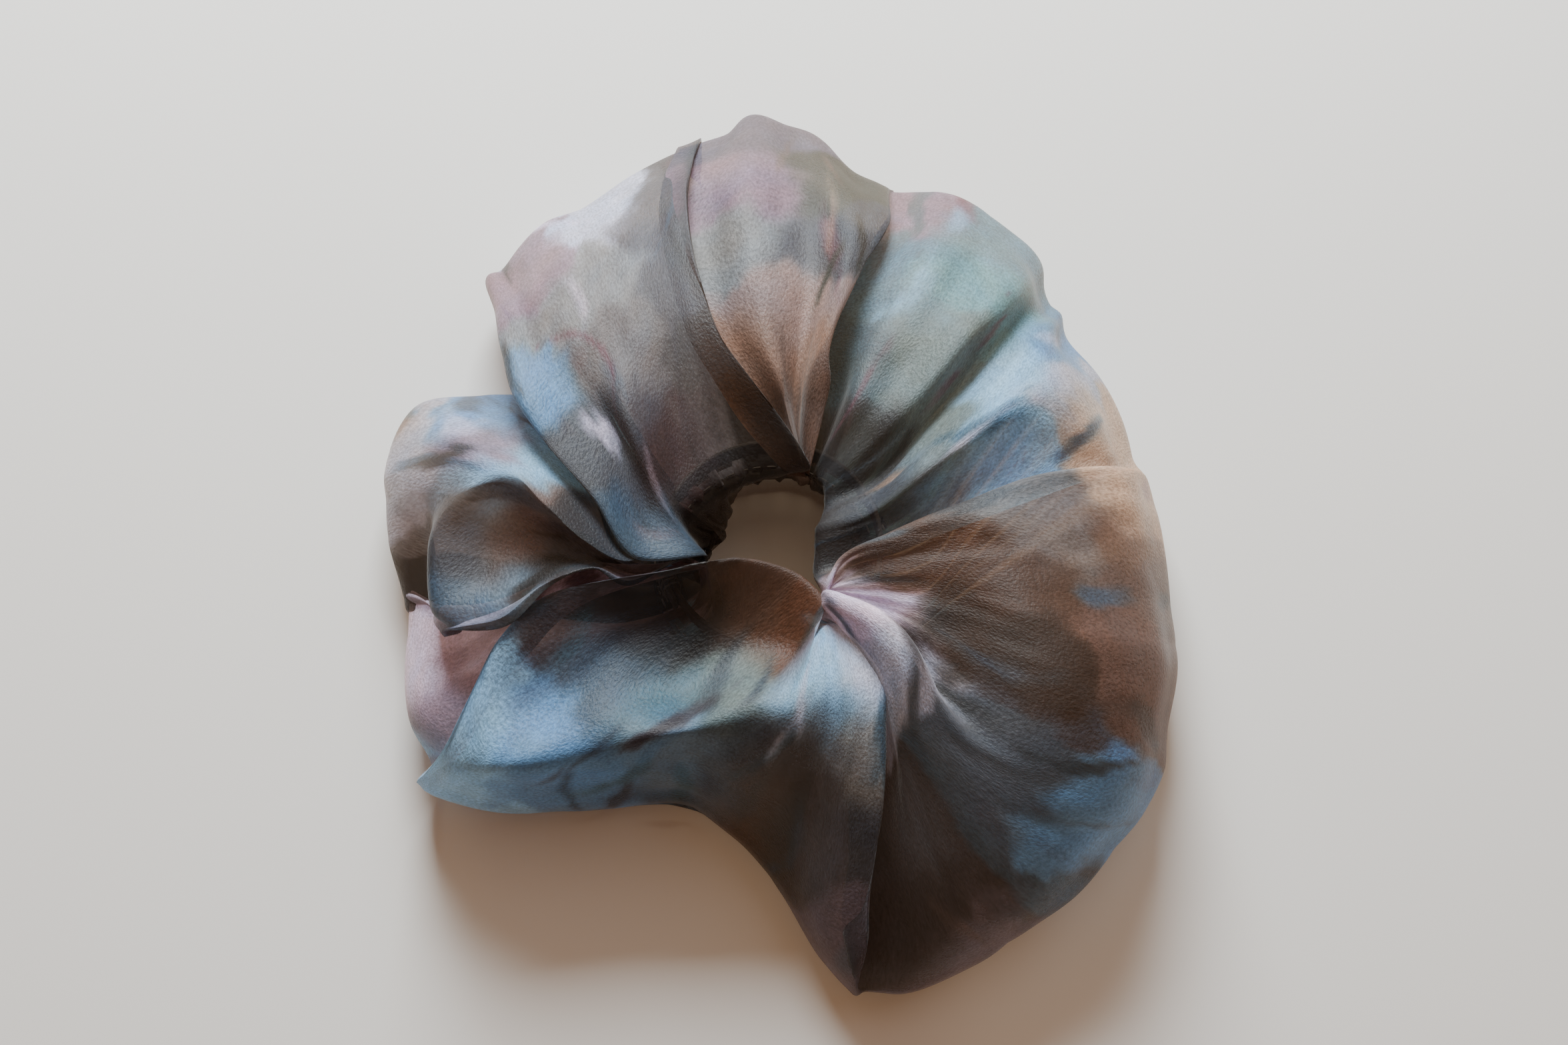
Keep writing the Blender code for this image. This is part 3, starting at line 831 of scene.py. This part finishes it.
def thread_along(path, sides):
    """Rings of points round a path, for a round thread."""
    path = np.asarray(path, float)
    ahead = np.gradient(path, axis=0)
    ahead /= np.maximum(np.linalg.norm(ahead, axis=1, keepdims=True), 1e-9)
    side = np.cross(ahead, (0.13, 0.2, 1.0))
    side /= np.linalg.norm(side, axis=1, keepdims=True)
    up = np.cross(side, ahead)
    turns = 2 * math.pi * np.arange(sides) / sides
    taper = np.ones(len(path))
    taper[[0, -1]] = THREAD_END
    ring = side[:, None] * np.cos(turns)[None, :, None] + up[:, None] * np.sin(turns)[None, :, None]
    return path[:, None] + ring * (THREAD_RADIUS * taper)[:, None, None]


def elastic_tack():
    """The zigzag through the elastic's lapped ends."""
    pitch = 0.6 * ELASTIC_OVERLAP / TACK_TURNS
    first = ELASTIC_START + 0.2 * ELASTIC_OVERLAP
    inner = ELASTIC_RADIUS - 0.5 * ELASTIC_THICKNESS - THREAD_RADIUS
    outer = ELASTIC_RADIUS + 1.5 * ELASTIC_THICKNESS + ELASTIC_GAP + THREAD_RADIUS + 0.2
    half = 0.5 * ELASTIC_WIDTH + THREAD_RADIUS
    zigzag = ((0, inner, -half), (0.1, inner, half), (0.2, outer, half), (0.8, outer, -half))
    knots = []
    for turn in range(TACK_TURNS):
        at = first + turn * pitch
        for lean, radius, up in zigzag:
            knots.append(polar(math.radians(at + lean * pitch), radius, ELASTIC_HEIGHT + up))
    knots = np.array(knots)
    places = np.linspace(0, len(knots) - 1, 12 * len(knots))
    path = hermite(np.arange(len(knots)), knots, places)
    return joined("elastic_tack_thread", [thread_along(path, sides=8)])


def running_stitches(name, path):
    """Short stitches along a path of points."""
    steps = np.concatenate([[0], np.cumsum(np.linalg.norm(np.diff(path, axis=0), axis=1))])
    count = int(steps[-1] / STITCH_PITCH)
    parts = []
    for stitch in range(count):
        start = steps[-1] * stitch / count
        places = start + np.linspace(0, STITCH_SHARE, 6) * steps[-1] / count
        stitch_path = np.stack([np.interp(places, steps, path[:, i]) for i in range(3)], axis=1)
        parts.append(thread_along(stitch_path, sides=6))
    return joined(name, parts)


def lengthwise_stitching():
    """Two rows on the upper allowance: beside the seam's stitched line and beside the raw edges."""
    turns = np.linspace(0, 2 * math.pi, 400)
    height = SEAM_HEIGHTS[1] + THREAD_RADIUS
    rows = [polar(turns, radius, height) for radius in (SEAM_LINE + 1.2, SEAM_REACH - 0.9)]
    return [running_stitches(f"lengthwise_stitches_{i + 1}", row) for i, row in enumerate(rows)]


def closing_stitching(grid):
    """Stitches that join the strip's two short ends, just inside the cover along the closing seam."""
    ends = len(ALLOWANCE)
    path = 0.5 * (grid[ends - 1] + grid[-ends])
    return running_stitches("closing_stitches", path[2:-2])


def give(piece, mat):
    piece.data.materials.append(mat)


cover, cover_points = make_cover()
give(cover, organza_material())
elastic = elastic_loop()
give(elastic, ribbed_material("elastic", (0.10, 0.10, 0.11), 900.0, 0.7))
tack = elastic_tack()
thread = ribbed_material("thread", (0.20, 0.21, 0.23), 1500.0, 0.5)
give(tack, thread)
seams = lengthwise_stitching()
closing = closing_stitching(cover_points)
for stitches in (*seams, closing):
    give(stitches, thread)

# ---------------------------------------------------------------- the table and the light
KEY_LIGHT = ((-0.06, 0.60, 0.44), 0.36, 16.5, (0.93, 0.99, 1.0))  # place, size, watts, colour
FILL_LIGHT = ((0.45, 0.30, 0.70), 0.6, 1.1, (0.9, 0.96, 1.0))
AMBIENT = (1.0, 0.54, 0.29)
AMBIENT_STRENGTH = 0.30
FLOOR_COLOUR = (0.73, 0.72, 0.70)


def plain_material(name, colour, roughness):
    mat, add, join = new_material(name)
    body = add("ShaderNodeBsdfPrincipled", Base_Color=(*colour, 1), Roughness=roughness,
               Specular_IOR_Level=0.2)
    out = add("ShaderNodeOutputMaterial")
    join(body.outputs[0], out.inputs["Surface"])
    return mat


def add_floor():
    bpy.ops.mesh.primitive_plane_add(size=4)
    floor = bpy.context.object
    floor.name = "floor"
    floor.data.materials.append(plain_material("floor", FLOOR_COLOUR, 0.9))


def add_light(name, place, size, power, colour):
    data = bpy.data.lights.new(name, "AREA")
    data.energy, data.size, data.color = power, size, colour
    light = bpy.data.objects.new(name, data)
    light.location = place
    light.rotation_euler = Vector(place).to_track_quat("Z", "Y").to_euler()
    bpy.context.scene.collection.objects.link(light)


def add_world():
    world = bpy.data.worlds.new("world")
    bpy.context.scene.world = world
    world.use_nodes = True
    world.node_tree.nodes["Background"].inputs["Color"].default_value = (*AMBIENT, 1)
    world.node_tree.nodes["Background"].inputs["Strength"].default_value = AMBIENT_STRENGTH


add_floor()
add_light("key", *KEY_LIGHT)
add_light("fill", *FILL_LIGHT)
add_world()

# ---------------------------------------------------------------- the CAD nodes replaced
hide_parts("cover_held_half", "cover_pulled_half")
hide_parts("elastic_loop")
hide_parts("elastic_tack")
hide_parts("lengthwise_seam")
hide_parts("closing_seam")
for piece in (cover, elastic, tack, *seams, closing):
    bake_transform(piece)
